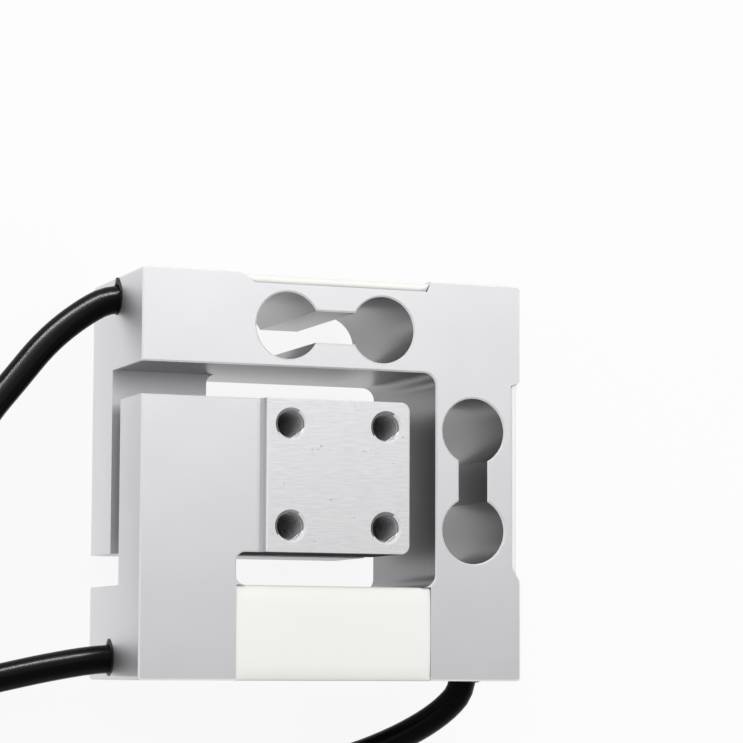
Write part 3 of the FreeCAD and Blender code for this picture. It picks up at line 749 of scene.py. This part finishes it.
def screw_mouths_in_painted_shade(tree, x, y, facing):
    """The broken rims of the tapped holes, on the side that faces right and down: the place of their
    painted shade.
    """
    off_x = calculate(tree, "SUBTRACT", amount(tree, x), SCREW_HALF_PITCH * MM)
    off_y = calculate(tree, "SUBTRACT", amount(tree, y), SCREW_HALF_PITCH * MM)
    off_screw = calculate(tree, "ADD", times(tree, off_x, off_x), times(tree, off_y, off_y))
    by_screw = less(tree, calculate(tree, "SQRT", off_screw), MOUTH_RADIUS * MM)
    turned_from_light = more(tree, calculate(tree, "SUBTRACT", facing[0], facing[1]), MOUTH_TURN)
    return times(tree, turned_from_light, by_screw)


def metal_zones(tree, place):
    """Shares of the block's finishes and painted light: inner walls, pad's left side, edges, pad's lower
    side and pads.
    """
    x, y, z = split(tree, place)
    facing = split(tree, add(tree, "ShaderNodeNewGeometry").outputs["Normal"])
    height = distance_from(tree, z, MIDDLE_LEVEL)
    tilt = amount(tree, facing[2])
    upright = less(tree, tilt, UPRIGHT_TILT)
    mouth = screw_mouths_in_painted_shade(tree, x, y, facing)
    step = times(
        tree, less(tree, distance_from(tree, x, STEP_SIDE), SIDE_TOLERANCE * MM),
        more(tree, height, BLOCK_FACE_HEIGHT * MM), less(tree, amount(tree, y), STEP_HALF_LENGTH * MM))
    reach = calculate(tree, "MAXIMUM", amount(tree, x), amount(tree, y))
    inside = times(tree, upright, less(tree, reach, INNER_REACH * MM))
    inside = blend_value(tree, step, inside, STEP_CUT_SHARE)
    # Painted shade: the side of each screw rim away from the light takes the cut colour
    inside = calculate(tree, "MAXIMUM", inside, mouth)
    least, most = EDGE_TILTS
    # Edges tilted between these limits get a painted highlight
    edge = times(tree, more(tree, tilt, least), less(tree, tilt, most))
    edge = calculate(tree, "SUBTRACT", edge, calculate(tree, "MAXIMUM", mouth, step), clamp=True)
    # Painted shade: the wall under the front pad's lower edge is dark, dull and not metal
    painted_shade = times(
        tree, less(tree, distance_from(tree, y, PAD_LOWER_SIDE), SIDE_TOLERANCE * MM),
        less(tree, facing[1], DOWNWARD), more(tree, z, MIDDLE_LEVEL * MM))
    off_pad = calculate(tree, "MAXIMUM", upright, mouth)
    on_pad = more(tree, calculate(tree, "SUBTRACT", height, off_pad), PAD_FACE_HEIGHT * MM)
    return inside, step, edge, painted_shade, on_pad


def aluminium(surface):
    """Blasted outside, cut inner walls, broken edges with a painted highlight, and pads with milled streaks
    and nicks.

    The cut walls' darker colour is partly their duller finish and partly painted shade, which deepens
    towards the right; the pad's left side takes a little of it, the side of each screw rim away from the
    light takes it as painted shade, and the front pad's lower side is painted shade, dark and dull.
    """
    material, tree, shader, place = start_material(surface)
    inside, step, edge, painted_shade, on_pad = metal_zones(tree, place)
    grain = spots(tree, place, **METAL_GRAIN)
    clouds = spots(tree, place, **METAL_CLOUDS)
    streaks = spots(tree, place, **PAD_STREAKS)
    nicks = more(tree, spots(tree, place, **PAD_NICKS), NICK_LIMIT)
    tone = calculate(tree, "ADD", times(tree, clouds, TONE_OF_CLOUDS), times(tree, grain, TONE_OF_GRAIN))
    tone = calculate(tree, "SUBTRACT", tone, TONE_OFFSET)
    # Painted shade: the cut walls' colour darkens from left to right
    left, right = CUT_SHADE_SHARES
    span = CUT_SHADE_HALF_SPAN * MM
    fall = {0: split(tree, place)["X"], 1: -span, 2: span, 3: left, 4: right}
    painted_cut_shade = add(tree, "ShaderNodeMapRange", fall).outputs[0]
    painted_cut_shade = calculate(tree, "ADD", painted_cut_shade, times(tree, tone, CUT_OF_TONE))
    blasted = blend(tree, tone, *BLASTED_COLOURS)
    # Cut walls, partly their finish and partly painted shade, with the painted shade under the front pad
    cut = blend(tree, painted_shade, blend(tree, painted_cut_shade, *CUT_AND_SHADE_COLOURS), PAINTED_SHADE_COLOUR)
    milled = blend(tree, nicks, blend(tree, streaks, *MILLED_COLOURS), NICK_COLOUR)
    colour = blend(tree, on_pad, blend(tree, inside, blasted, cut), milled)
    rough = blend_value(tree, inside, METAL_ROUGHNESS["blasted"], METAL_ROUGHNESS["cut"])
    for zone, finish in ((step, "step"), (on_pad, "pad"), (edge, "edge"), (painted_shade, "painted_shade")):
        rough = blend_value(tree, zone, rough, METAL_ROUGHNESS[finish])
    relief = blend_value(tree, on_pad, times(tree, grain, RELIEF_OF_GRAIN), streaks)
    set_inputs(tree, shader, {
        # The broken edges get a painted highlight
        "Base Color": blend(tree, edge, colour, EDGE_HIGHLIGHT_COLOUR),
        "Metallic": calculate(tree, "SUBTRACT", 1.0, painted_shade),
        "Roughness": rough,
        "Normal": bump(tree, relief, **METAL_BUMP)})
    return material


def thread_metal(surface):
    """Dull metal in a tapped hole, with painted light on its side towards the right and down, near the
    mouth.
    """
    material, tree, shader, place = start_material(surface)
    x, y, z = split(tree, place)
    sunk = calculate(tree, "SUBTRACT", MIDDLE_LEVEL * MM, distance_from(tree, z, MIDDLE_LEVEL))
    weighed = []
    for side, weight in zip((x, y), LIT_SIDE_DIRECTION):
        axis = times(tree, calculate(tree, "SIGN", side), SCREW_HALF_PITCH * MM)
        weighed.append(times(tree, calculate(tree, "SUBTRACT", side, axis), weight))
    outward = calculate(tree, "SUBTRACT", calculate(tree, "ADD", *weighed), times(tree, sunk, LIT_SIDE_SLOPE))
    low, high = LIT_SIDE_EDGE
    # Painted light: the side towards the right and down near the mouth, narrowing with depth like light
    # past the rim
    lit_side = add(tree, "ShaderNodeMapRange", {0: outward, 1: low * MM, 2: high * MM}).outputs[0]
    pattern = spots(tree, place, **THREAD_GRAIN)
    flank = times(tree, lit_side, times(tree, sunk, FLANK_RISE / MM))
    relief = calculate(tree, "ADD", flank, times(tree, pattern, RELIEF_OF_THREAD_GRAIN))
    dull = blend(tree, pattern, *DULL_COLOURS)
    lit_side_colour = blend(tree, pattern, *PAINTED_LIGHT_COLOURS)
    set_inputs(tree, shader, {
        "Base Color": blend(tree, lit_side, dull, lit_side_colour), "Metallic": 1.0,
        "Roughness": blend_value(tree, lit_side, DULL_ROUGHNESS, LIT_SIDE_ROUGHNESS),
        "Normal": bump(tree, relief, **THREAD_BUMP)})
    return material


def gauge_foil(surface):
    """Amber film with a metal grid of fine parallel lines."""
    material, tree, shader, place = start_material(surface)
    inputs = {"Vector": place, "Scale": GAUGE_LINE_SCALE}
    lines = add(tree, "ShaderNodeTexWave", inputs, bands_direction="Z").outputs["Fac"]
    grid = more(tree, lines, GAUGE_LINE_LIMIT)
    set_inputs(tree, shader, {
        "Base Color": blend(tree, grid, *GAUGE_COLOURS), "Metallic": grid, "Roughness": GAUGE_ROUGHNESS})
    return material


def strap_cloth(surface):
    """Black woven tape with a fine pile."""
    material, tree, shader, place = start_material(surface)
    inputs = {"Vector": place, "Scale": STRAP_WEAVE_SCALE}
    weave = add(tree, "ShaderNodeTexVoronoi", inputs).outputs["Distance"]
    set_inputs(tree, shader, {
        "Base Color": blend(tree, weave, *STRAP_COLOURS), "Roughness": STRAP_ROUGHNESS,
        "Normal": bump(tree, weave, **STRAP_BUMP)})
    return material


def plain_material(surface, light, dark, roughness, scale, relief, metallic=0.0, shine=PLAIN_SHINE):
    """A material whose colour and relief vary a little over the piece."""
    material, tree, shader, place = start_material(surface)
    pattern = spots(tree, place, scale, PLAIN_DETAIL)
    set_inputs(tree, shader, {
        "Base Color": blend(tree, pattern, (*dark, 1), (*light, 1)),
        "Metallic": metallic,
        "Roughness": roughness,
        "Specular IOR Level": shine,
        "Normal": bump(tree, pattern, PLAIN_STRENGTH, relief)})
    return material


def make_materials():
    """One material for each kind of surface, most of them by the record's slot names."""
    made = [
        aluminium("aluminium_body"), thread_metal("thread"), gauge_foil("gauge_foil"), strap_cloth("strap")]
    made += [plain_material(surface, **finish) for surface, finish in PLAIN_FINISHES.items()]
    return {material["surface"]: material for material in made}


def seen_rays(tree, straight, reflected):
    """Share of plain white for rays that show the background, straight or in a reflection."""
    path = add(tree, "ShaderNodeLightPath").outputs
    seen = calculate(tree, "MAXIMUM", path["Is Camera Ray"], path["Is Transmission Ray"])
    mirrored = times(tree, path["Is Glossy Ray"], reflected)
    return calculate(tree, "MAXIMUM", times(tree, seen, straight), mirrored)


def make_floor():
    """White floor at the rear pad's face, with the object's soft shadow."""
    material = bpy.data.materials.new("floor")
    material.use_nodes = True
    tree = material.node_tree
    tree.nodes.clear()
    white = add(tree, "ShaderNodeEmission", {"Color": WHITE, "Strength": 1.0}).outputs[0]
    lit = add(tree, "ShaderNodeBsdfDiffuse", {"Color": FLOOR_COLOUR}).outputs[0]
    share = seen_rays(tree, FLOOR_GLOW, FLOOR_GLOW_IN_METAL)
    mixed = add(tree, "ShaderNodeMixShader", {0: share, 1: lit, 2: white}).outputs[0]
    add(tree, "ShaderNodeOutputMaterial", {"Surface": mixed})
    corners = [(x * FLOOR_HALF, y * FLOOR_HALF, 0) for x, y in ((-1, -1), (1, -1), (1, 1), (-1, 1))]
    mesh = bpy.data.meshes.new("floor")
    mesh.from_pydata(corners, [], [(0, 1, 2, 3)])
    mesh.materials.append(material)
    link(bpy.data.objects.new("floor", mesh))


def make_lamp(name, length, width, brightness):
    """A rectangular lamp of even brightness."""
    data = bpy.data.lights.new(name, "AREA")
    data.shape = "RECTANGLE"
    data.size = length
    data.size_y = width
    data.energy = brightness * math.pi * length * width
    return link(bpy.data.objects.new(name, data))


def make_panel():
    """A wide soft lamp over the upper half of the front, facing straight down."""
    low, high = PANEL_SPAN
    panel = make_lamp("soft_panel", PANEL_WIDTH, high - low, PANEL_BRIGHTNESS)
    panel.location = (PANEL_OFFSET, (low + high) / 2, PANEL_HEIGHT)


def make_strip(receivers):
    """A narrow lamp beyond the block's top side, for the highlight along the cables and nothing else."""
    out = Vector(STRIP_DIRECTION).normalized()
    along = Vector(STRIP_HEADING)
    along = (along - out * along.dot(out)).normalized()
    strip = make_lamp("cable_strip", *STRIP_SIZE, STRIP_BRIGHTNESS)
    turn = Matrix((along, out.cross(along), out)).transposed().to_4x4()
    strip.matrix_world = Matrix.Translation(out * STRIP_DISTANCE) @ turn
    strip.visible_diffuse = False
    strip.light_linking.receiver_collection = receivers


def make_world():
    """White walls all round where they are seen, a dimmer ceiling, and softer light from both."""
    world = bpy.data.worlds.new("room")
    bpy.context.scene.world = world
    world.use_nodes = True
    tree = world.node_tree
    direction = add(tree, "ShaderNodeTexCoord").outputs["Generated"]
    low, high = WALL_FADE
    fade = {0: split(tree, direction)["Z"], 1: low, 2: high, 3: 1.0, 4: CEILING_LIGHT}
    shown = add(tree, "ShaderNodeMapRange", fade).outputs[0]
    strength = blend_value(tree, seen_rays(tree, 1.0, 1.0), ROOM_LIGHT, shown)
    set_inputs(tree, tree.nodes["Background"], {"Color": WHITE, "Strength": strength})


bpy.context.scene.view_settings.view_transform = "Standard"
MATERIALS = make_materials()
make_camera()
make_floor()
make_world()
make_panel()
lit_cables = bpy.data.collections.new("lit_cables")
make_strip(lit_cables)

for beam in BEAMS:
    make_cover(beam)
    make_seal(beam)
for side in THREAD_SPANS:
    for i, (right, up) in enumerate(((-1, 1), (1, 1), (-1, -1), (1, -1))):
        make_thread(side, right * SCREW_HALF_PITCH, up * SCREW_HALF_PITCH, i + 1)
straps = make_strap(1, STRAP_ANGLES[0]) + make_strap(2, STRAP_ANGLES[1])
for beam in BEAMS:
    leads = [make_lead(beam, i, colour) for i, colour in enumerate(LEAD_COLOURS)]
    make_cable(beam, lit_cables)

# The frame's lead ends have one slot for all their colours and take one of them, and coloured wires
# replace them
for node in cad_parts.values():
    slot = node.material_slots[0]
    slot.material = MATERIALS.get(slot.material.name, MATERIALS["lead_red"])
